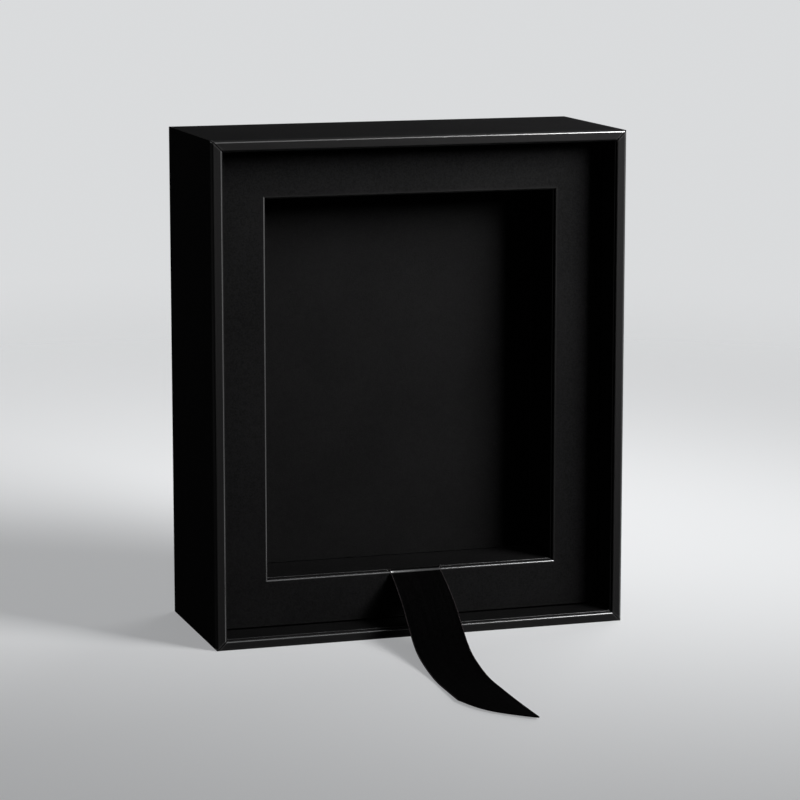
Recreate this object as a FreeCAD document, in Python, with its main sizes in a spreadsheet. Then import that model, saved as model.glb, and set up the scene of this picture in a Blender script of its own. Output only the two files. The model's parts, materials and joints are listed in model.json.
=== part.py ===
"""Sliding drawer gift box: a thick-walled case of wrapped board that stands on one narrow side,
a drawer with a windowed face frame and a deep well behind it, and a ribbon that pulls it out.

Frame: the origin is the centre of the case's underside, +Z is up, the open front faces -Y.
"""
import FreeCAD, Part
import os
from math import radians, sin, cos

import Sketcher

doc = FreeCAD.newDocument("drawer_gift_box")

# Driving sizes, in millimetres and degrees
SIZES = [
    ("case_width", 200.0, "outside width of the case"),
    ("case_height", 236.0, "outside height of the case"),
    ("case_depth", 84.0, "outside depth of the case, front rim to back sheet"),
    ("case_board", 4.2, "thickness of the case's boards"),
    ("wrap_paper", 0.2, "thickness of the wrapping paper"),
    ("liner_card", 0.7, "thickness of the papered lining card"),
    ("liner_setback", 2.0, "how far the lining starts behind the rim"),
    ("liner_radius", 0.3, "rounding of the linings' front edges"),
    ("rim_radius", 1.0, "rounding of every wrapped board edge"),
    ("back_turn_in", 14.0, "how far the side wraps turn in over the back"),
    ("back_sheet_margin", 3.0, "bare strip between the back sheet and the case's edges"),
    ("slide_gap", 0.5, "running gap between the drawer and the lining, on every side"),
    ("drawer_setback", 17.0, "how far the closed drawer's face stands behind the rim"),
    ("frame_board", 2.2, "thickness of the face frame's board"),
    ("frame_side_border", 23.4, "width of the face frame left and right of its window"),
    ("frame_end_border", 22.8, "width of the face frame above and below its window"),
    ("tray_board", 2.0, "thickness of the drawer's side and back boards"),
    ("stay_paper", 0.15, "thickness of the corner stays"),
    ("stay_leg", 12.0, "width of each leg of a corner stay"),
    ("well_board", 1.5, "thickness of the well's boards"),
    ("well_step", 0.5, "how far the well's lining stands into the window"),
    ("floor_card_gap", 0.4, "gap between the well's floor card and its wall linings"),
    ("spacer_depth", 25.8, "space held between the well's floor and the drawer's back"),
    ("spacer_width", 12.0, "width of a floor spacer"),
    ("spacer_end_gap", 16.0, "from the end of a floor spacer to the edge of the well's floor"),
    ("spacer_inset", 22.0, "from the middle of a floor spacer to the side of the well's floor"),
    ("ribbon_width", 25.0, "width of the ribbon"),
    ("ribbon_thickness", 0.5, "thickness of the ribbon"),
    ("ribbon_offset", 1.5, "how far the ribbon leaves the lip right of the middle"),
    ("ribbon_reach", 171.0, "distance from the lip to the ribbon's tip"),
    ("ribbon_cut", 29.0, "length of the slanted cut at the ribbon's end"),
    ("ribbon_drift", 12.5, "how far the ribbon has moved to the left at its tip"),
    ("ribbon_joint_gap", 0.3, "gap between the glued and the free part of the ribbon"),
    ("lip_bend_radius", 6.0, "bend of the ribbon just in front of the lip"),
    ("lip_bend_turn", 8.0, "angle of that bend"),
    ("shoulder_turn", 20.0, "angle of the ribbon's shoulder"),
    ("tip_bend_radius", 120.0, "bend of the ribbon's raised tip"),
    ("tip_bend_turn", 8.0, "angle of that bend"),
    ("slot_clearance", 0.7, "room round the ribbon in its slot"),
    ("patch_width", 38.0, "width of the paper patch over the ribbon's glued end"),
    ("patch_height", 8.0, "height of that patch"),
]

# Shares of the sizes that they follow
tail_share = 0.6
tail_fold_share = 0.8
patch_drop_share = 0.25
shoulder_radius_share = 4.3
landing_radius_share = 3.25
drift_place_share = 0.57
drift_bend_share = 0.84

sizes = doc.addObject("Spreadsheet::Sheet", "sizes")
for row, (alias, value, meaning) in enumerate(SIZES, start=1):
    sizes.set("A%d" % row, meaning)
    sizes.set("B%d" % row, str(value))
    sizes.setAlias("B%d" % row, alias)
doc.recompute()

# Levels inward from the case's outer faces, as expressions on the sheet
board_out = "sizes.wrap_paper"
board_in = "(%s + sizes.case_board)" % board_out
rim_in = "(%s + sizes.wrap_paper)" % board_in
liner_in = "(%s + sizes.liner_card)" % board_in
drawer_out = "(%s + sizes.slide_gap)" % liner_in
tray_wrap_in = "(%s + sizes.wrap_paper)" % drawer_out
tray_out = "(%s + sizes.stay_paper)" % tray_wrap_in
tray_in = "(%s + sizes.tray_board)" % tray_out

# The window's edges, inward from the case's outer faces: left and right, top and bottom
window_side = "(%s + sizes.frame_side_border)" % drawer_out
window_end = "(%s + sizes.frame_end_border)" % drawer_out

# Levels outward from the window's edge
lining_face = "(0 - sizes.well_step)"
lining_back = "(%s + sizes.liner_card)" % lining_face
well_out = "(%s + sizes.well_board)" % lining_back

# Levels backward from the front rim
turn_back = "(sizes.case_depth - sizes.wrap_paper)"
board_back = "(%s - sizes.wrap_paper)" % turn_back
back_board_front = "(%s - sizes.case_board)" % board_back
back_liner_front = "(%s - sizes.liner_card)" % back_board_front
drawer_back = "(%s - sizes.slide_gap)" % back_liner_front
tray_back = "(%s - sizes.wrap_paper)" % drawer_back
tray_back_front = "(%s - sizes.tray_board)" % tray_back
floor_back = "(%s - sizes.spacer_depth)" % tray_back_front
floor_board_front = "(%s - sizes.well_board)" % floor_back
floor_face = "(%s - sizes.liner_card)" % floor_board_front
face_front = "sizes.drawer_setback"
frame_board_front = "(%s + sizes.wrap_paper)" % face_front
frame_back = "(%s + sizes.frame_board)" % frame_board_front

front_y = "(0 - sizes.case_depth / 2)"
middle_z = "(sizes.case_height / 2)"

UP = FreeCAD.Vector(0, 0, 1)
RIGHT = FreeCAD.Vector(1, 0, 0)
BACK = FreeCAD.Vector(0, 1, 0)
INWARD = {"left": RIGHT, "right": -RIGHT, "top": -UP, "bottom": UP}
EDGE_TOLERANCE = 1e-4

parts = []


def number(expression):
    """The value of an expression on the sheet, as a plain number."""
    result = sizes.evalExpression(expression)
    return float(getattr(result, "Value", result))


def keep(piece, label):
    """Names a finished sub-part and lists it for the hand-out."""
    piece.Label = label
    parts.append(piece)
    return piece


def bind(thing, **expressions):
    """Ties properties of an object to expressions on the sheet."""
    for name, expression in expressions.items():
        thing.setExpression(name, expression)


def place(thing, x=None, y=None, z=None):
    """Ties an object's place to expressions on the sheet."""
    for axis, expression in (("x", x), ("y", y), ("z", z)):
        if expression is not None:
            thing.setExpression("Placement.Base." + axis, expression)


def side_body(name, side):
    """A body in a wall's own frame: X along the wall, Y inward from the outside, Z backward."""
    body = doc.addObject("PartDesign::Body", name)
    inward = INWARD[side]
    turn = FreeCAD.Rotation(inward.cross(BACK), inward, BACK, "ZYX")
    body.Placement = FreeCAD.Placement(FreeCAD.Vector(), turn)
    places = {
        "left": ("0 - sizes.case_width / 2", middle_z),
        "right": ("sizes.case_width / 2", middle_z),
        "top": ("0", "sizes.case_height"),
        "bottom": ("0", "0"),
    }
    x, z = places[side]
    place(body, x=x, y=front_y, z=z)
    return body


def case_ring(side, level):
    """Half length and inward place of a wall at a level inward from the case's faces."""
    length = "sizes.case_height" if side in ("left", "right") else "sizes.case_width"
    return "(%s / 2 - %s)" % (length, level), level


def window_ring(side, level):
    """Half length and inward place of a wall at a level outward from the window's edge."""
    if side in ("left", "right"):
        return "(sizes.case_height / 2 - %s + %s)" % (window_end, level), "(%s - %s)" % (window_side, level)
    return "(sizes.case_width / 2 - %s + %s)" % (window_side, level), "(%s - %s)" % (window_end, level)


def wedge(body, kind, name, outer, inner, front, back):
    """A mitred slab between two levels of a ring."""
    slab = body.newObject("PartDesign::%sWedge" % kind, name)
    bind(slab, Ymin=outer[1], Ymax=inner[1])
    bind(slab, Xmin="0 - " + outer[0], Xmax=outer[0])
    bind(slab, X2min="0 - " + inner[0], X2max=inner[0])
    bind(slab, Zmin=front, Zmax=back, Z2min=front, Z2max=back)
    return slab


def block(body, kind, name, size, at):
    """A box inside a body: size and lowest corner as expressions along X, Y and Z."""
    box = body.newObject("PartDesign::%sBox" % kind, name)
    bind(box, Length=size[0], Width=size[1], Height=size[2])
    place(box, *at)
    return box


def near(a, b):
    return abs(a - b) < EDGE_TOLERANCE


def round_edges(body, feature, name, radius, *tests):
    """Rounds the edges of a feature whose ends all pass one of the tests."""
    doc.recompute()
    names = []
    for index, edge in enumerate(feature.Shape.Edges, start=1):
        ends = [vertex.Point for vertex in edge.Vertexes]
        if any(all(test(point) for point in ends) for test in tests):
            names.append("Edge%d" % index)
    rounding = body.newObject("PartDesign::Fillet", name)
    rounding.Base = (feature, names)
    bind(rounding, Radius=radius)
    body.Tip = rounding


def on_line(level, depth):
    """Tests for the line along a wall at a level and a depth of the wall's own frame."""
    y, z = number(level), number(depth)
    return lambda point: near(point.y, y) and near(point.z, z)


def mitred_panel(name, side, ring, outer_level, inner_level, front, back):
    """A plain mitred board, card or sheet of one wall."""
    body = side_body(name, side)
    wedge(body, "Additive", name + "_slab", ring(side, outer_level), ring(side, inner_level), front, back)
    return body


def lining_panel(name, side, ring, outer_level, inner_level, front, back):
    """A mitred lining card with a rounded front edge."""
    body = mitred_panel(name, side, ring, outer_level, inner_level, front, back)
    edge = on_line(ring(side, inner_level)[1], front)
    round_edges(body, body.Tip, name + "_rounding", "sizes.liner_radius", edge)
    return body


def plate(name, margin_x, margin_z, front, back):
    """An upright plate set in from the case's sides by two margins, between two depths."""
    body = doc.addObject("PartDesign::Body", name)
    place(body, y=front_y)
    size = (
        "sizes.case_width - 2 * %s" % margin_x,
        "%s - %s" % (back, front),
        "sizes.case_height - 2 * %s" % margin_z,
    )
    at = ("%s - sizes.case_width / 2" % margin_x, front, margin_z)
    block(body, "Additive", name + "_plate", size, at)
    return body


def rounded_wall(name, side, outer_level, inner_level, front, back, radius):
    """A mitred wall whose two front edges and outer back edge are rounded."""
    body = side_body(name, side)
    outer, inner = case_ring(side, outer_level), case_ring(side, inner_level)
    slab = wedge(body, "Additive", name + "_slab", outer, inner, front, back)
    corners = [(outer_level, front), (inner_level, front), (outer_level, back)]
    round_edges(body, slab, name + "_rounding", radius, *[on_line(*corner) for corner in corners])
    return body


def cut(name, base, tool):
    """One sub-part less the room that another takes."""
    result = doc.addObject("Part::Cut", name)
    result.Base = base
    result.Tool = tool
    return result


board_radius = "sizes.rim_radius - sizes.wrap_paper"

# The case: five boards, a wrap over each, and a lining card inside each
for side in INWARD:
    name = "case_%s_board" % side
    board = rounded_wall(name, side, board_out, board_in, "sizes.wrap_paper", board_back, board_radius)
    keep(board, name)

    name = "case_%s_wrap" % side
    blank = rounded_wall(name + "_blank", side, "0", rim_in, "0", turn_back, "sizes.rim_radius")
    half_length = case_ring(side, "0")[0]
    under_liner = ("2 * " + half_length, "sizes.wrap_paper", "sizes.case_depth - sizes.liner_setback")
    under_liner_at = ("0 - " + half_length, board_in, "sizes.liner_setback")
    block(blank, "Subtractive", name + "_end", under_liner, under_liner_at)
    turn_in = (case_ring(side, "0"), case_ring(side, "sizes.back_turn_in"))
    wedge(blank, "Additive", name + "_turn", turn_in[0], turn_in[1], board_back, turn_back)
    keep(cut(name, blank, board), name)

    name = "case_%s_liner" % side
    liner = lining_panel(name, side, case_ring, board_in, liner_in, "sizes.liner_setback", back_board_front)
    keep(liner, name)

keep(plate("case_back_board", board_in, board_in, back_board_front, board_back), "case_back_board")
keep(plate("case_back_liner", liner_in, liner_in, back_liner_front, back_board_front), "case_back_liner")
margin = "sizes.back_sheet_margin"
keep(plate("case_back_sheet", margin, margin, turn_back, "sizes.case_depth"), "case_back_sheet")


def frame_plate(name, outer_level, window_level, front, radius):
    """The face frame's plate with its window and rounded front edges."""
    body = plate(name, outer_level, outer_level, front, frame_back)
    half_height, left = window_ring("left", window_level)
    half_width, bottom = window_ring("bottom", window_level)
    size = ("2 * " + half_width, frame_back, "2 * " + half_height)
    at = ("%s - sizes.case_width / 2" % left, "0", bottom)
    window = block(body, "Subtractive", name + "_window", size, at)
    face = number(front)
    round_edges(body, window, name + "_rounding", radius, lambda point: near(point.y, face))
    return body


# The drawer's face frame: one board with a window, in one wrap that turns in at every edge
name = "face_frame_board"
frame_board = frame_plate(name, tray_wrap_in, "sizes.wrap_paper", frame_board_front, board_radius)
keep(frame_board, name)
name = "face_frame_wrap"
frame_blank = frame_plate(name + "_blank", drawer_out, "0", face_front, "sizes.rim_radius")
keep(cut(name, frame_blank, frame_board), name)

# The drawer's tray behind the frame: boards, a wrap over each, and the back
for side in INWARD:
    name = "tray_%s_board" % side
    keep(mitred_panel(name, side, case_ring, tray_out, tray_in, frame_back, tray_back), name)
    name = "tray_%s_wrap" % side
    keep(mitred_panel(name, side, case_ring, drawer_out, tray_wrap_in, frame_back, tray_back), name)

keep(plate("tray_back_board", tray_in, tray_in, tray_back_front, tray_back), "tray_back_board")
keep(plate("tray_back_sheet", drawer_out, drawer_out, tray_back, drawer_back), "tray_back_sheet")


def corner_stay(name, across, up):
    """An angle of paper tape glued round one long corner of the tray."""
    body = doc.addObject("PartDesign::Body", name)
    turns = {(-1, -1): 0, (-1, 1): 90, (1, 1): 180, (1, -1): 270}
    body.Placement.Rotation = FreeCAD.Rotation(BACK, turns[across, up])
    reach_x = "(sizes.case_width / 2 - %s)" % tray_wrap_in
    reach_z = "(sizes.case_height / 2 - %s)" % tray_wrap_in
    side = "%s + " if across > 0 else "%s - "
    level = "%s + " if up > 0 else "%s - "
    place(body, x=side % "0" + reach_x, y="%s + %s" % (front_y, tray_back), z=level % middle_z + reach_z)
    sketch = body.newObject("Sketcher::SketchObject", name + "_section")
    upright = [o for o in body.Origin.OriginFeatures if o.Role == "XZ_Plane"][0]
    sketch.AttachmentSupport = (upright, "")
    sketch.MapMode = "FlatFace"
    leg = number("sizes.stay_leg")
    thick = number("sizes.stay_paper")
    corners = [(0, 0), (leg, 0), (leg, thick), (thick, thick), (thick, leg), (0, leg)]
    for start, end in zip(corners, corners[1:] + corners[:1]):
        points = [FreeCAD.Vector(x, y, 0) for x, y in (start, end)]
        sketch.addGeometry(Part.LineSegment(*points), False)
    count = len(corners)
    for line in range(count):
        sketch.addConstraint(Sketcher.Constraint("Coincident", line, 2, (line + 1) % count, 1))
        sketch.addConstraint(Sketcher.Constraint("Vertical" if line % 2 else "Horizontal", line))
    sketch.addConstraint(Sketcher.Constraint("Coincident", 0, 1, -1, 1))
    for label, line, alias in (
        ("low_leg", 0, "stay_leg"),
        ("high_leg", 5, "stay_leg"),
        ("low_paper", 1, "stay_paper"),
        ("high_paper", 4, "stay_paper"),
    ):
        sketch.addConstraint(Sketcher.Constraint("Distance", line, number("sizes." + alias)))
        sketch.renameConstraint(sketch.ConstraintCount - 1, label)
        sketch.setExpression("Constraints." + label, "sizes." + alias)
    pad = body.newObject("PartDesign::Pad", name + "_pad")
    pad.Profile = sketch
    bind(pad, Length="%s - %s" % (tray_back, frame_back))
    return body


for across, across_name in ((-1, "left"), (1, "right")):
    for up, up_name in ((-1, "bottom"), (1, "top")):
        name = "tray_%s_%s_stay" % (up_name, across_name)
        keep(corner_stay(name, across, up), name)

# The ribbon's slot through the well's bottom, just behind the face frame
slot_length = "(sizes.ribbon_width + 2 * sizes.slot_clearance)"
slot_width = "(sizes.ribbon_thickness + sizes.slot_clearance)"


def cut_slot(body, name, outer_level, inner_level):
    """Cuts the ribbon's slot through a piece of the well's bottom wall."""
    low = window_ring("bottom", outer_level)[1]
    high = window_ring("bottom", inner_level)[1]
    size = (slot_length, "%s - %s" % (high, low), slot_width)
    at = ("0 - sizes.ribbon_offset - %s / 2" % slot_length, low, frame_back)
    block(body, "Subtractive", name + "_slot", size, at)


# The well behind the window: four walls and a floor of board, each with its lining card
for side in INWARD:
    name = "well_%s_board" % side
    board = mitred_panel(name, side, window_ring, well_out, lining_back, frame_back, floor_back)
    lining_name = "well_%s_lining" % side
    lining_levels = (lining_back, lining_face)
    lining = lining_panel(lining_name, side, window_ring, *lining_levels, frame_back, floor_board_front)
    if side == "bottom":
        cut_slot(board, name, well_out, lining_back)
        cut_slot(lining, lining_name, lining_back, lining_face)
    keep(board, name)
    keep(lining, lining_name)

floor_x = window_ring("left", lining_back)[1]
floor_z = window_ring("bottom", lining_back)[1]
keep(plate("well_floor_board", floor_x, floor_z, floor_board_front, floor_back), "well_floor_board")
card_x = "(%s + sizes.floor_card_gap)" % window_ring("left", lining_face)[1]
card_z = "(%s + sizes.floor_card_gap)" % window_ring("bottom", lining_face)[1]
keep(plate("well_floor_lining", card_x, card_z, floor_face, floor_board_front), "well_floor_lining")

# Two strips of board that carry the well's floor off the drawer's back
spacer_reach = "(sizes.case_width / 2 - %s - sizes.spacer_inset)" % floor_x
spacer_end = "(%s + sizes.spacer_end_gap)" % floor_z
for name, sign in (("floor_spacer_left", "-"), ("floor_spacer_right", "+")):
    body = doc.addObject("PartDesign::Body", name)
    place(body, x="0 %s %s" % (sign, spacer_reach), y="%s + %s" % (front_y, floor_back), z=spacer_end)
    size = ("sizes.spacer_width", "sizes.spacer_depth", "sizes.case_height - 2 * " + spacer_end)
    block(body, "Additive", name + "_strip", size, ("0 - sizes.spacer_width / 2", "0", "0"))
    keep(body, name)

# The ribbon's glued end: up the back of the face frame, through the slot and over its lower edge
tail_length = "(%s * (%s - %s))" % (tail_share, window_end, tray_in)
tail_left = "sizes.ribbon_offset - sizes.ribbon_width / 2"
tail_front = "(%s + sizes.ribbon_thickness / 2 + sizes.ribbon_joint_gap)" % face_front

tail = doc.addObject("PartDesign::Body", "ribbon_tail")
place(tail, x=tail_left, y=front_y, z=window_end)
upright_size = ("sizes.ribbon_width", "sizes.ribbon_thickness", "%s + sizes.ribbon_thickness" % tail_length)
block(tail, "Additive", "ribbon_tail_upright", upright_size, ("0", frame_back, "0 - " + tail_length))
flat_size = ("sizes.ribbon_width", "%s - %s" % (frame_back, tail_front), "sizes.ribbon_thickness")
flat = block(tail, "Additive", "ribbon_tail_flat", flat_size, ("0", tail_front, "0"))
fold_y = number(frame_back + " + sizes.ribbon_thickness")
fold_z = number("sizes.ribbon_thickness")
fold_radius = "%s * sizes.ribbon_thickness" % tail_fold_share


def on_fold(point):
    return near(point.y, fold_y) and near(point.z, fold_z)


round_edges(tail, flat, "ribbon_tail_fold", fold_radius, on_fold)
keep(tail, "ribbon_tail")

patch = doc.addObject("PartDesign::Body", "ribbon_patch")
place(patch, x="sizes.ribbon_offset - sizes.patch_width / 2", y=front_y, z=window_end)
patch_top = "(%s * %s)" % (patch_drop_share, tail_length)
patch_at = ("0", frame_back + " + sizes.ribbon_thickness", "0 - %s - sizes.patch_height" % patch_top)
patch_size = ("sizes.patch_width", "sizes.stay_paper", "sizes.patch_height")
block(patch, "Additive", "ribbon_patch_paper", patch_size, patch_at)
keep(patch, "ribbon_patch")


class Strip:
    """The side view of a bent strip, as its upper and lower edge, drawn from the lip forward."""

    def __init__(self, start, thickness):
        self.at = start
        self.angle = 0.0
        self.half = thickness / 2
        self.upper = []
        self.lower = []

    def point(self, centre, angle, radius):
        """A point at a distance from a centre, square to the strip's heading."""
        return centre + FreeCAD.Vector(0, -sin(angle), cos(angle)) * radius

    def heading(self):
        return FreeCAD.Vector(0, -cos(self.angle), -sin(self.angle))

    def straight(self, length):
        end = self.at + self.heading() * length
        for side, edges in ((1, self.upper), (-1, self.lower)):
            offset = self.point(FreeCAD.Vector(), self.angle, side * self.half)
            edges.append(Part.LineSegment(self.at + offset, end + offset))
        self.at = end

    def bend(self, radius, turn):
        """Turns down for a positive turn, up for a negative one."""
        way = 1 if turn > 0 else -1
        centre = self.point(self.at, self.angle, -way * radius)
        middle, last = self.angle + turn / 2, self.angle + turn
        for side, edges in ((1, self.upper), (-1, self.lower)):
            reach = way * radius + side * self.half
            stops = [self.point(centre, angle, reach) for angle in (self.angle, middle, last)]
            edges.append(Part.Arc(*stops))
        self.at = self.point(centre, last, way * radius)
        self.angle = last

    def face(self):
        """The closed side view, with a round end at the lip and a square one at the tip."""
        back = self.upper[0].StartPoint - (self.upper[0].StartPoint - self.lower[0].StartPoint) * 0.5
        cap = Part.Arc(self.lower[0].StartPoint, back + BACK * self.half, self.upper[0].StartPoint)
        tip = Part.LineSegment(self.upper[-1].EndPoint, self.lower[-1].EndPoint)
        edges = [cap.toShape()] + [e.toShape() for e in self.upper] + [tip.toShape()]
        edges += [e.toShape() for e in reversed(self.lower)]
        return Part.Face(Part.Wire(edges))


def ribbon_pull():
    """The free ribbon: over the lip, down in front of the face frame and along the floor."""
    thickness = number("sizes.ribbon_thickness")
    width = number("sizes.ribbon_width")
    reach = number("sizes.ribbon_reach")
    start = FreeCAD.Vector(0, number(front_y + " + " + face_front), number(window_end) + thickness / 2)
    height = start.z - thickness / 2
    lip_turn = radians(number("sizes.lip_bend_turn"))
    shoulder_turn = radians(number("sizes.shoulder_turn"))
    slope_turn = lip_turn + shoulder_turn
    tip_turn = radians(number("sizes.tip_bend_turn"))
    lip_radius = number("sizes.lip_bend_radius")
    shoulder_radius = shoulder_radius_share * height
    landing_radius = landing_radius_share * height
    tip_radius = number("sizes.tip_bend_radius")
    strip = Strip(start, thickness)
    strip.bend(lip_radius, lip_turn)
    strip.bend(shoulder_radius, shoulder_turn)
    landing_drop = landing_radius * (1 - cos(slope_turn))
    strip.straight((strip.at.z - thickness / 2 - landing_drop) / sin(slope_turn))
    strip.bend(landing_radius, -slope_turn)
    tip_length = tip_radius * sin(tip_turn)
    strip.straight(reach - tip_length - (start.y - strip.at.y))
    strip.bend(tip_radius, -tip_turn)
    side_view = strip.face()
    side_view.translate(RIGHT * -(width + reach))
    sheet = side_view.extrude(RIGHT * 2 * (width + reach))

    # The plan: two curved long edges that drift to the left, and the slanted cut
    drift = number("sizes.ribbon_drift")
    centre = number("sizes.ribbon_offset")
    cut_length = number("sizes.ribbon_cut")

    def edge_point(side, forward, moved):
        return FreeCAD.Vector(centre + side * width / 2 - moved, start.y - forward, -thickness)

    def long_edge(side, length):
        """Start, middle and end of a long edge, which drifts most before its middle."""
        past_middle = (length / reach - drift_place_share) / (1 - drift_place_share)
        end_share = drift_bend_share + (1 - drift_bend_share) * past_middle
        middle = edge_point(side, reach * drift_place_share, drift * drift_bend_share)
        return [edge_point(side, -thickness, 0), middle, edge_point(side, length, drift * end_share)]

    left = long_edge(-1, reach - cut_length)
    right = long_edge(1, reach)
    outline = [
        Part.Arc(*left).toShape(),
        Part.LineSegment(left[2], right[2]).toShape(),
        Part.Arc(*reversed(right)).toShape(),
        Part.LineSegment(right[0], left[0]).toShape(),
    ]
    plan = Part.Face(Part.Wire(outline)).extrude(UP * (height + reach))
    return sheet.common(plan).Solids[0]


pull = doc.addObject("Part::Feature", "ribbon_pull")
pull.Shape = ribbon_pull()
pull.Placement = FreeCAD.Placement()
keep(pull, "ribbon_pull")

doc.recompute()

for thing in doc.Objects:
    for state in thing.State:
        if state in ("Invalid", "Error"):
            raise RuntimeError("%s is %s" % (thing.Label, state))
for piece in parts:
    shape = piece.Shape
    if shape.isNull() or not shape.isValid():
        raise RuntimeError("%s has no valid shape" % piece.Label)
    if len(shape.Solids) != 1:
        raise RuntimeError("%s holds %d solids" % (piece.Label, len(shape.Solids)))

os.makedirs("parts", exist_ok=True)
for piece in parts:
    piece.Shape.exportStep("parts/%s.step" % piece.Label)
print("pieces", len(parts))
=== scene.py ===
"""Sliding drawer gift box: wrapped black board, a lined well behind a windowed frame, and a satin pull.

Lengths are in metres, in the part's own frame: +Z up, the open front towards -Y.
"""
import json
from math import asin, cos, pi, radians, sin

import bmesh
import bpy
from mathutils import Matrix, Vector


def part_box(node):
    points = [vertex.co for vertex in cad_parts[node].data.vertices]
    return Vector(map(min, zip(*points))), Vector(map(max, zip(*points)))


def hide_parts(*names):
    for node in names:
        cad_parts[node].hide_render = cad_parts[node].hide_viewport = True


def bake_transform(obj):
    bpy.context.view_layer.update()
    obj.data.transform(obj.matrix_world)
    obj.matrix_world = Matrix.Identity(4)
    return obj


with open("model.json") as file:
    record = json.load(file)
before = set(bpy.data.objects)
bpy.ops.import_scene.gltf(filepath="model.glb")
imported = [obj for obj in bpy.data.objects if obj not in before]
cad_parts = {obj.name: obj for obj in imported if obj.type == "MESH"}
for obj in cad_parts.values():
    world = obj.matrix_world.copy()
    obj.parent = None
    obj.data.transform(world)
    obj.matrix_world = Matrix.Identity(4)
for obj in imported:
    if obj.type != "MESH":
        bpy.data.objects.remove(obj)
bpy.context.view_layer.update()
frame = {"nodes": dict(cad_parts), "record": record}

MM = 0.001

# The case's front, half its width and its height, the front of the face frame, and the ribbon's glued end
case_front_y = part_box("case_left_wrap")[0].y
half_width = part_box("case_right_wrap")[1].x
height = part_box("case_top_wrap")[1].z
face_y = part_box("face_frame_wrap")[0].y
tail_low, tail_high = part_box("ribbon_tail")

# The lamps' watts, how much of the backdrop's light reaches the box, and the backdrop's colour
KEY = 3.6
OVERHEAD = 0.2
BACK_FILL = 20
AMBIENT = 0.06
PALE = (0.70, 0.71, 0.72)

# Flat paper has almost no gloss, because the pale backdrop would mirror in it at a low angle
FLAT_GLOSS = 0.0005
# How deep the grain of the paper is
PAPER_RELIEF = 0.07 * MM

# The ribbon's width, and how far right its middle lies
RIBBON_WIDTH = tail_high.x - tail_low.x
RIBBON_MIDDLE = (tail_high.x + tail_low.x) / 2

# Half the ribbon's thickness and the step of its mesh, in mm
CLOTH_HALF = 0.2
MESH_STEP = 0.5
# How many samples are taken between two points of its course
SPAN_STEPS = 10

# The cut at the ribbon's end, in mm. It slants back by CUT_LENGTH from the right edge to the left one, and
# by CUT_BEND more in a bend that grows with a power of the share of the width. Its tip on the right is
# blunted by TIP_BLUNT over a share of the width, and the cut draws in the ribbon's last CUT_REACH.
CUT_LENGTH = 24.0
CUT_BEND = 15.0
BEND_POWER = 6
TIP_BLUNT = 1.6
TIP_SHARE = 0.07
CUT_REACH = 75

# Points along the ribbon's middle line, from its glued end behind the face frame to its cut: how far forward
# of the frame's face, how far to the left, how high, and how much higher its right edge lies, in mm
COURSE = [
    (-2.62, 0.0, 16.15, 0.0),
    (-2.62, 0.0, 21.00, 0.0),
    (-2.62, 0.0, 27.00, 0.0),
    (-2.52, 0.0, 27.90, 0.0),
    (-2.10, 0.0, 28.50, 0.0),
    (-1.40, 0.0, 28.62, 0.0),
    (-0.85, 0.0, 28.60, 0.0),
    (-0.30, 0.0, 28.38, 0.0),
    (0.10, 0.0, 27.95, 0.0),
    (0.42, 0.0, 27.45, 0.0),
    (1.00, 0.01, 27.08, 0.0),
    (3.6, 0.1, 26.11, 0.05),
    (10.0, 0.45, 23.67, 0.3),
    (19.0, 1.2, 20.29, 0.6),
    (28.0, 2.1, 16.90, 1.0),
    (38.0, 3.5, 13.14, 1.3),
    (48.0, 5.0, 9.66, 1.3),
    (58.0, 6.5, 6.53, 1.0),
    (69.0, 7.9, 4.00, 0.5),
    (82.0, 9.0, 2.08, 0.1),
    (100.0, 10.3, 0.66, -0.2),
    (122.0, 11.2, 0.68, -0.3),
    (142.0, 11.8, 0.90, -0.4),
    (158.0, 12.0, 0.95, -0.2),
    (173.0, 12.1, 1.00, 0.1),
]


def added(name, data):
    """A new object with this mesh, lamp or camera, linked to the scene."""
    made = bpy.data.objects.new(name, data)
    bpy.context.scene.collection.objects.link(made)
    return made


def camera():
    """Stands where the photograph was taken from, a long way off and a little above the box."""
    photo_width = 800
    focal_pixels = 3186.63
    sensor = 36
    data = bpy.data.cameras.new("camera")
    data.sensor_width = sensor
    data.lens = focal_pixels / photo_width * sensor
    data.clip_start = 0.05
    data.clip_end = 40
    seen = added("camera", data)
    seen.location = (-0.452664, -1.432636, 0.364170)
    look_down = radians(9.749)
    look_right = radians(17.601)
    seen.rotation_euler = (pi / 2 - look_down, 0, -look_right)
    bpy.context.scene.camera = seen
    bpy.context.scene.view_settings.view_transform = "Standard"


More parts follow.
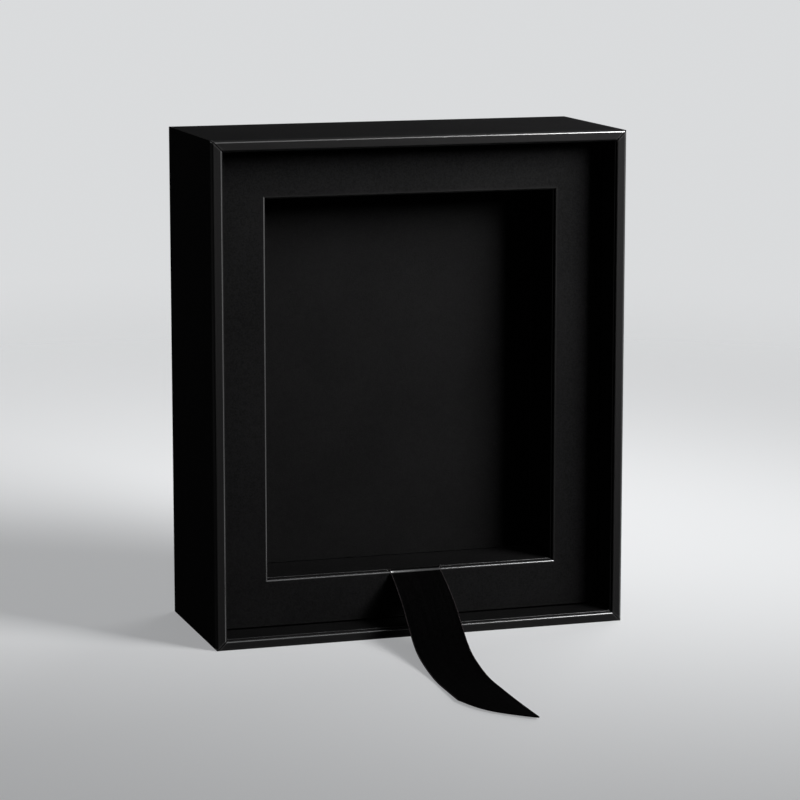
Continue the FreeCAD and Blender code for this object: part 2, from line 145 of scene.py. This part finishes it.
class Shade:
    """A value in a material's nodes. Sums and products of such values add the nodes that they need."""

    def __init__(self, tree, socket=None):
        self.tree = tree
        self.socket = socket

    def node(self, kind, settings=(), values=(), result=0):
        """Any node: its settings come first, then the numbers, colours or links of its sockets."""
        made = self.tree.nodes.new(kind)
        for name, value in dict(settings).items():
            setattr(made, name, value)
        for name, value in dict(values).items():
            self.plug(made.inputs[name], value)
        return Shade(self.tree, made.outputs[result])

    def plug(self, socket, value):
        """Links a value to a socket, or sets the socket to a number or a colour."""
        if isinstance(value, Shade):
            self.tree.links.new(value.socket, socket)
        elif socket.type == "VECTOR" and not hasattr(value, "__len__"):
            socket.default_value = (value, value, value)
        elif socket.type == "RGBA" and len(value) == 3:
            socket.default_value = (*value, 1)
        else:
            socket.default_value = value

    def sum(self, operation, *others):
        """A Math node, or a Vector Math node where one of the values is a vector or a colour."""
        sockets = [part.socket.type for part in others if isinstance(part, Shade)]
        kind = "ShaderNodeVectorMath" if set(sockets) & {"VECTOR", "RGBA"} else "ShaderNodeMath"
        return self.node(kind, {"operation": operation}, dict(enumerate(others)))

    def __add__(self, other):
        return self.sum("ADD", self, other)

    __radd__ = __add__

    def __sub__(self, other):
        return self.sum("SUBTRACT", self, other)

    def __rsub__(self, other):
        return self.sum("SUBTRACT", other, self)

    def __mul__(self, other):
        return self.sum("MULTIPLY", self, other)

    __rmul__ = __mul__

    def __abs__(self):
        return self.sum("ABSOLUTE", self)

    def least(self, other):
        return self.sum("MINIMUM", self, other)

    def most(self, other):
        return self.sum("MAXIMUM", self, other)

    def parts(self):
        """The three numbers of a vector."""
        split = self.node("ShaderNodeSeparateXYZ", (), {0: self}).socket.node
        return [Shade(self.tree, output) for output in split.outputs]

    def rise(self, low, high):
        """0 below low, 1 above high and smooth between them."""
        values = {"Value": self, "From Min": low, "From Max": high}
        return self.node("ShaderNodeMapRange", {"interpolation_type": "SMOOTHSTEP"}, values)

    def noise(self, scale, detail=2.0, roughness=0.5):
        """Noise over this place, with so many features to the metre."""
        values = {"Vector": self, "Scale": scale, "Detail": detail, "Roughness": roughness}
        return self.node("ShaderNodeTexNoise", (), values)

    def colour(self, start, end):
        """From one colour to another as this value goes from 0 to 1."""
        return self.node("ShaderNodeMix", {"data_type": "RGBA"}, {0: self, 6: start, 7: end}, result=2)


def finish_of(name, **constants):
    """A new material, its shader node, and an empty value to make its other nodes with."""
    material = bpy.data.materials.new(name)
    material.use_nodes = True
    shader = material.node_tree.nodes["Principled BSDF"]
    for socket, value in constants.items():
        shader.inputs[socket.replace("_", " ")].default_value = value
    return material, shader, Shade(material.node_tree)


def dress(shader, start, relief, depth, **values):
    """Links a surface's varying values to its shader, with a relief of a real depth in metres."""
    for socket, value in values.items():
        start.plug(shader.inputs[socket.replace("_", " ")], value)
    bump = start.node("ShaderNodeBump", (), {"Distance": depth, "Height": relief, "Strength": 1.0})
    start.plug(shader.inputs["Normal"], bump)


def paper_grain(place):
    """A felt-marked paper's tone, its relief, how its gloss varies, and its short fibres by themselves."""
    grain = place.noise(1500, 3.0, 0.6)
    fibre = place.noise(520, 4.0, 0.65)
    cloud = place.noise(28, 2.0)
    tone = (grain * 0.6 + fibre * 0.25 + cloud * 0.15).rise(0.34, 0.66)
    relief = grain * 0.6 + fibre * 0.4
    uneven = (grain - 0.5) * 0.2 + (cloud - 0.5) * 0.08
    return tone, relief, uneven, fibre


def folds(start, least):
    """1 on a board's rounded edge, and how far hands have rubbed its part that faces nearly forward or back.

    It is rubbed in full where it also faces up or right, and by least where it faces down or left.
    """
    right, back, up = start.node("ShaderNodeTexCoord", result="Normal").parts()
    x, y, z = abs(right), abs(back), abs(up)
    # The largest part of a flat face's normal is 1, and that of a rounding is less
    fold = (1 - x.most(y).most(z)).rise(0.0008, 0.009)
    rubbed = least + up.most(right).rise(0.02, 0.2) * (1 - least)
    return fold, fold * y.rise(0.76, 0.92) * rubbed


def wrap_paper():
    """Black wrapping paper with a fine grain, burnished where it is drawn round the boards, and mitred."""
    constants = {"Specular_IOR_Level": FLAT_GLOSS, "Coat_Roughness": 0.18, "Coat_IOR": 2.1}
    material, shader, start = finish_of("wrap_paper", **constants)
    place = start.node("ShaderNodeTexCoord", result="Object")
    tone, relief, uneven, fibre = paper_grain(place)
    fold, crown = folds(start, 0.06)
    # How far a place lies from the mitre where the turned-in paper of two sides meets on the rim
    x, y, z = place.parts()
    from_side = half_width - abs(x)
    from_end = z.least(height - z)
    off_mitre = abs(from_side - from_end)
    on_rim = 1 - y.rise(case_front_y + 4 * MM, case_front_y + 5 * MM)
    # The dark cut, the groove that it lies in, and the flanks beside it, which are painted lighter as a
    # highlight
    cut = (1 - off_mitre.rise(0.28 * MM, 0.5 * MM)) * on_rim
    groove = (1 - off_mitre.rise(0.2 * MM, 0.9 * MM)) * on_rim
    painted_highlight_flank = off_mitre.rise(0.4 * MM, 0.7 * MM) * (1 - off_mitre.rise(0.9 * MM, 1.4 * MM)) * on_rim
    colour = tone.colour((0.0058, 0.0058, 0.0060), (0.0118, 0.0117, 0.0119))
    # Painted light: the rim's front is painted lighter, for the light it gets outside the recess's shade
    colour = (on_rim * 0.8).colour(colour, (0.0165, 0.0162, 0.0164))
    # The rounded edges are painted lighter, partly as wear and partly as a painted highlight along them
    colour = (fold * 0.4).colour(colour, (0.0180, 0.0175, 0.0175))
    # Painted highlight: the flanks beside the mitre's cut are painted lighter, where the turned edge would
    # catch the light
    colour = (painted_highlight_flank * 0.5).colour(colour, (0.0400, 0.0380, 0.0380))
    colour = (cut * 0.95).colour(colour, (0.0004, 0.0004, 0.0004))
    rough = 0.78 + uneven - fold * 0.12
    coat = crown * (0.95 + (fibre - 0.5) * 0.4) + on_rim * (0.01 + groove * 0.5)
    coat = coat * (1 - cut)
    grooved = relief - groove * 1.6
    dress(shader, start, grooved, PAPER_RELIEF, Base_Color=colour, Roughness=rough, Coat_Weight=coat)
    return material


def lining_card():
    """Black papered card: the same kind of paper, laid flat, with a rubbed front edge."""
    constants = {"Specular_IOR_Level": FLAT_GLOSS, "Coat_Roughness": 0.22, "Coat_IOR": 1.7}
    material, shader, start = finish_of("lining_card", **constants)
    # Moved, so that its grain isn't the wrapping paper's
    place = start.node("ShaderNodeTexCoord", result="Object") + (0.31, 0.17, 0.05)
    tone, relief, uneven, fibre = paper_grain(place)
    fold, crown = folds(start, 0.3)
    colour = tone.colour((0.0055, 0.0055, 0.0056), (0.0108, 0.0107, 0.0108))
    rough = 0.8 + uneven - fold * 0.1
    dress(shader, start, relief, PAPER_RELIEF, Base_Color=colour, Roughness=rough, Coat_Weight=crown * 0.7)
    return material


def greyboard():
    """Bare binder's board: grey pulp with darker specks."""
    material, shader, start = finish_of("greyboard", Specular_IOR_Level=0.25)
    place = start.node("ShaderNodeTexCoord", result="Object")
    pulp = place.noise(420, 4.0, 0.6)
    speck = place.noise(1900, 1.0).rise(0.66, 0.74)
    colour = pulp.rise(0.3, 0.7).colour((0.33, 0.32, 0.295), (0.44, 0.43, 0.395))
    colour = (speck * 0.6).colour(colour, (0.12, 0.115, 0.105))
    # The well's floor board's front face is painted near black, as painted shade in the gap round the floor
    # card where it shows
    well_floor_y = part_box("well_floor_board")[0].y
    gap_shade = 1 - abs(place.parts()[1] - well_floor_y).rise(0.05 * MM, 0.3 * MM)
    colour = gap_shade.colour(colour, (0.0020, 0.0020, 0.0020))
    rough = 0.86 + (pulp - 0.5) * 0.12
    dress(shader, start, pulp, 0.12 * MM, Base_Color=colour, Roughness=rough)
    return material


def kraft_tape():
    """Brown gummed paper with a faint ribbing and lighter fibres."""
    material, shader, start = finish_of("kraft_tape", Specular_IOR_Level=0.35)
    place = start.node("ShaderNodeTexCoord", result="Object")
    fibre = (place * (1, 1, 3)).noise(650, 4.0, 0.6)
    rib = (place * (1, 1, 0.1)).noise(2400, 1.0)
    colour = fibre.rise(0.3, 0.7).colour((0.42, 0.27, 0.14), (0.60, 0.42, 0.25))
    rough = 0.62 + (fibre - 0.5) * 0.2
    dress(shader, start, fibre * 0.6 + rib * 0.4, 0.05 * MM, Base_Color=colour, Roughness=rough)
    return material


def ribbon_satin():
    """Black satin: lengthwise floats with a soft sheen, and a corded selvedge along each edge, painted
    lighter as a highlight.
    """
    constants = {"Specular_IOR_Level": 0.002, "Coat_Roughness": 0.2, "Coat_IOR": 2.1}
    material, shader, start = finish_of("ribbon_satin", **constants)
    # The sheet's own metres, drawn out lengthwise so that the noise becomes threads
    along = start.node("ShaderNodeUVMap", {"uv_map": "weave"})
    across, length = along.parts()[:2]
    thread = (along * (1, 0.05, 0)).noise(5200, 2.0, 0.6)
    float_end = (along * (1, 0.35, 0)).noise(2600, 2.0, 0.7)
    streak = (along * (1, 0.02, 0)).noise(700, 2.0)
    pick = (along * (0.2, 1, 0)).noise(2200, 1.0)
    edge = RIBBON_WIDTH / 2 - abs(across)
    selvedge = 1 - edge.rise(0.22 * MM, 0.5 * MM)
    tone = thread * 0.3 + float_end * 0.25 + streak * 0.15 + along.noise(1100, 3.0, 0.75) * 0.3
    colour = tone.rise(0.40, 0.62).colour((0.0001, 0.0001, 0.0001), (0.0040, 0.0039, 0.0040))
    # Painted highlight: the selvedge is painted lighter where light catches its bead, with the picks' tone
    # varying at random
    selvedge_painted_highlight = pick.rise(0.3, 0.7).colour((0.024, 0.020, 0.021), (0.060, 0.051, 0.054))
    colour = (selvedge * 0.9).colour(colour, selvedge_painted_highlight)
    rough = 0.5 + (float_end - 0.5) * 0.25 - (thread - 0.5) * 0.1
    relief = thread * 0.5 + float_end * 0.3 + selvedge * pick * 0.6
    # Pressed to a shine where it is folded over the frame's edge
    crease = length.rise(13.5 * MM, 14.0 * MM) * (1 - length.rise(15.4 * MM, 16.2 * MM))
    coat = crease * (0.6 + (streak - 0.5) * 0.4)
    dress(shader, start, relief, 0.05 * MM, Base_Color=colour, Roughness=rough, Coat_Weight=coat)
    return material


def smooth_line(points, steps):
    """Samples a smooth curve through points that have any number of values, by cubic spans."""
    points = [Vector(point) for point in points]
    spans = [(b - a).length for a, b in zip(points, points[1:])]
    slopes = [(b - a) / span for a, b, span in zip(points, points[1:], spans)]
    turns = [slopes[0]]
    for before, after, lead, follow in zip(slopes, slopes[1:], spans, spans[1:]):
        turns.append((before * follow + after * lead) / (lead + follow))
    turns.append(slopes[-1])
    line = []
    for index, span in enumerate(spans):
        start, end = points[index], points[index + 1]
        leave, arrive = turns[index] * span, turns[index + 1] * span
        for step in range(steps):
            t = step / steps
            near = start * (2 * t ** 3 - 3 * t ** 2 + 1) + leave * (t ** 3 - 2 * t ** 2 + t)
            line.append(near + end * (3 * t ** 2 - 2 * t ** 3) + arrive * (t ** 3 - t ** 2))
    return line + [points[-1]]


def even_steps(line, pitch):
    """The same line at even steps along its first three values, and the length of a step."""
    lengths = [0.0]
    for a, b in zip(line, line[1:]):
        lengths.append(lengths[-1] + (b - a).to_3d().length)
    count = round(lengths[-1] / pitch)
    even, index = [], 0
    for step in range(count + 1):
        wanted = lengths[-1] * step / count
        while index < len(line) - 2 and lengths[index + 1] < wanted:
            index += 1
        share = (wanted - lengths[index]) / (lengths[index + 1] - lengths[index])
        even.append(line[index].lerp(line[index + 1], share))
    return even, lengths[-1] / count


def ribbon_profile():
    """Across the ribbon from right to left: how far from its middle, and half how thick, in mm."""
    half = RIBBON_WIDTH / MM / 2
    # The bead of a selvedge: how far in from the edge, and half how thick
    bead = [
        (0.0, 0.0),
        (0.05, 0.2),
        (0.16, 0.29),
        (0.32, 0.32),
        (0.5, 0.28),
        (0.7, 0.22),
        (1.0, CLOTH_HALF),
    ]
    side = [(half - inward, thick) for inward, thick in bead]
    steps = 22
    flat = [(side[-1][0] * (1 - 2 * step / steps), CLOTH_HALF) for step in range(1, steps)]
    return side + flat + [(-across, thick) for across, thick in reversed(side)]


def cut_back(share):
    """How much shorter the ribbon is, in mm, at a share of its width from its right edge."""
    blunt = TIP_BLUNT * max(0, 1 - share / TIP_SHARE) ** 2
    return CUT_LENGTH * share + CUT_BEND * share ** BEND_POWER + blunt


def ribbon():
    """The pull ribbon as one closed sheet, from its glued end behind the face frame to its slanted cut."""
    course, pitch = even_steps(smooth_line(COURSE, SPAN_STEPS), MESH_STEP)
    last = len(course) - 1

    def between(index, share):
        """The place a share of a step past one of the course's points, and never past its end."""
        return course[min(index, last)].lerp(course[min(index + 1, last)], share)

    profile = ribbon_profile()
    width = RIBBON_WIDTH / MM
    whole = pitch * last
    slant_from = whole - CUT_REACH
    points, uvs = [], []
    for row in range(len(course)):
        for across, thick in profile:
            length = row * pitch
            if length > slant_from:
                short = cut_back(0.5 - across / width)
                length -= short * (length - slant_from) / (whole - slant_from)
            index = min(int(length / pitch), last - 1)
            share = length / pitch - index
            place = between(index, share)
            before = between(max(index - 1, 0), share)
            after = between(index + 2, share)
            ahead = Vector((before[1] - after[1], before[0] - after[0], after[2] - before[2])).normalized()
            level = Vector((0, 0, 1)).cross(ahead).normalized()
            turn = asin(place[3] / width)
            sideways = level * cos(turn) + ahead.cross(level) * sin(turn)
            above = ahead.cross(sideways)
            middle = Vector((RIBBON_MIDDLE / MM - place[1], face_y / MM - place[0], place[2]))
            for way in (1, -1):
                points.append((middle + sideways * across + above * way * thick) * MM)
                uvs.append((across * MM, length * MM))
    return sheet_mesh("ribbon", points, uvs, len(course), len(profile))


def sheet_mesh(name, vertices, uvs, rows, columns):
    """A closed mesh from rows of points, of which each upper one is followed by the lower one under it."""
    def upper(row, column):
        return (row * columns + column) * 2

    def lower(row, column):
        return upper(row, column) + 1

    faces = []
    upper_corners = ((0, 0), (1, 0), (1, 1), (0, 1))
    lower_corners = ((0, 0), (0, 1), (1, 1), (1, 0))
    for row in range(rows - 1):
        for column in range(columns - 1):
            faces.append([upper(row + i, column + j) for i, j in upper_corners])
            faces.append([lower(row + i, column + j) for i, j in lower_corners])
    end = rows - 1
    for column in range(columns - 1):
        beside = column + 1
        faces.append([upper(0, column), upper(0, beside), lower(0, beside), lower(0, column)])
        faces.append([upper(end, column), lower(end, column), lower(end, beside), upper(end, beside)])
    mesh = bpy.data.meshes.new(name)
    mesh.from_pydata(vertices, [], faces)
    layer = mesh.uv_layers.new(name="weave")
    for loop in mesh.loops:
        layer.data[loop.index].uv = uvs[loop.vertex_index]
    mesh.validate()
    for polygon in mesh.polygons:
        polygon.use_smooth = True
    made = added(name, mesh)
    weld(made)
    return made


def weld(thing):
    """Joins points that lie on each other, as along the selvedges, and turns all faces outward."""
    touching = 0.002 * MM
    work = bmesh.new()
    work.from_mesh(thing.data)
    bmesh.ops.remove_doubles(work, verts=work.verts, dist=touching)
    bmesh.ops.recalc_face_normals(work, faces=work.faces)
    work.to_mesh(thing.data)
    work.free()


def area_light(name, at, aim, size, watts, spread=pi):
    """A softbox that faces a point. A spread below half a turn is a grid in front of it."""
    data = bpy.data.lights.new(name, "AREA")
    data.shape = "RECTANGLE"
    data.size, data.size_y = size
    data.energy = watts
    data.spread = spread
    lamp = added(name, data)
    lamp.location = at
    lamp.rotation_euler = (Vector(aim) - Vector(at)).to_track_quat("-Z", "Y").to_euler()
    lamp.visible_camera = False


def seen_directly(start):
    """1 for what the camera, a gloss or a clear thing sees, 0 for what only lights the box."""
    path = start.node("ShaderNodeLightPath").socket.node
    kinds = ("Is Camera Ray", "Is Glossy Ray", "Is Transmission Ray")
    seen, mirrored, through = [Shade(start.tree, path.outputs[kind]) for kind in kinds]
    return seen.most(mirrored).most(through)


def lights():
    """Three softboxes and a pale backdrop that adds little light of its own."""
    middle = (0, 0, 0.12)
    # The key's grid aims past the box's upper right, so that its light falls off towards the lower left
    past_corner = (0.235, 0, 0.38)
    area_light("key", (0.56, -0.52, 0.62), past_corner, (0.50, 0.52), KEY, spread=radians(62))
    area_light("overhead", (0.0, 0.1, 1.3), middle, (1.6, 1.6), OVERHEAD)
    area_light("back_fill", (1.6, 1.3, 0.5), middle, (1.3, 0.9), BACK_FILL)
    world = bpy.data.worlds.new("studio")
    bpy.context.scene.world = world
    world.use_nodes = True
    start = Shade(world.node_tree)
    background = world.node_tree.nodes["Background"]
    background.inputs["Color"].default_value = (*PALE, 1)
    start.plug(background.inputs["Strength"], AMBIENT + seen_directly(start) * (1 - AMBIENT))


def floor():
    """A pale floor that fades into the backdrop with distance and keeps the box's shadow."""
    radius = 4.0
    sides = 96
    turns = [2 * pi * side / sides for side in range(sides)]
    ring = [(radius * cos(turn), radius * sin(turn), 0) for turn in turns]
    mesh = bpy.data.meshes.new("floor")
    mesh.from_pydata(ring, [], [list(range(sides))])
    made = added("floor", mesh)
    material, shader, start = finish_of("floor", Specular_IOR_Level=0.1, Roughness=0.8, Emission_Strength=1)
    # Dark to the rays that only light the box, and pale with an even glow to what sees it
    seen = seen_directly(start)
    start.plug(shader.inputs["Base Color"], seen.colour((0.06, 0.06, 0.06), (0.53, 0.535, 0.54)))
    start.plug(shader.inputs["Emission Color"], seen.colour((0, 0, 0), (0.30, 0.304, 0.31)))
    place = start.node("ShaderNodeTexCoord", result="Object")
    away = place.node("ShaderNodeVectorMath", {"operation": "LENGTH"}, {0: place}, result="Value")
    fades_from, gone_at = 0.35, 1.3
    fade = away.rise(fades_from, gone_at)
    lit = Shade(start.tree, shader.outputs[0])
    clear = start.node("ShaderNodeBsdfTransparent")
    mixed = start.node("ShaderNodeMixShader", (), {0: fade, 1: lit, 2: clear})
    start.plug(start.tree.nodes["Material Output"].inputs["Surface"], mixed)
    made.data.materials.append(material)


def dress_nodes():
    """Gives every carried-over node the finish that its slot in the record names, and returns them all."""
    finishes = {
        "wrap_paper": wrap_paper(),
        "lining_card": lining_card(),
        "greyboard": greyboard(),
        "kraft_tape": kraft_tape(),
        "ribbon_satin": ribbon_satin(),
    }
    for row in frame["record"]["subparts"]:
        node = frame["nodes"][row["node"]]
        for slot in node.material_slots:
            slot.material = finishes[row["material_slot"]]
    return finishes


camera()
lights()
floor()
finishes = dress_nodes()

pull = ribbon()
pull.data.materials.append(finishes["ribbon_satin"])
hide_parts("ribbon_pull", "ribbon_tail")
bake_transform(pull)
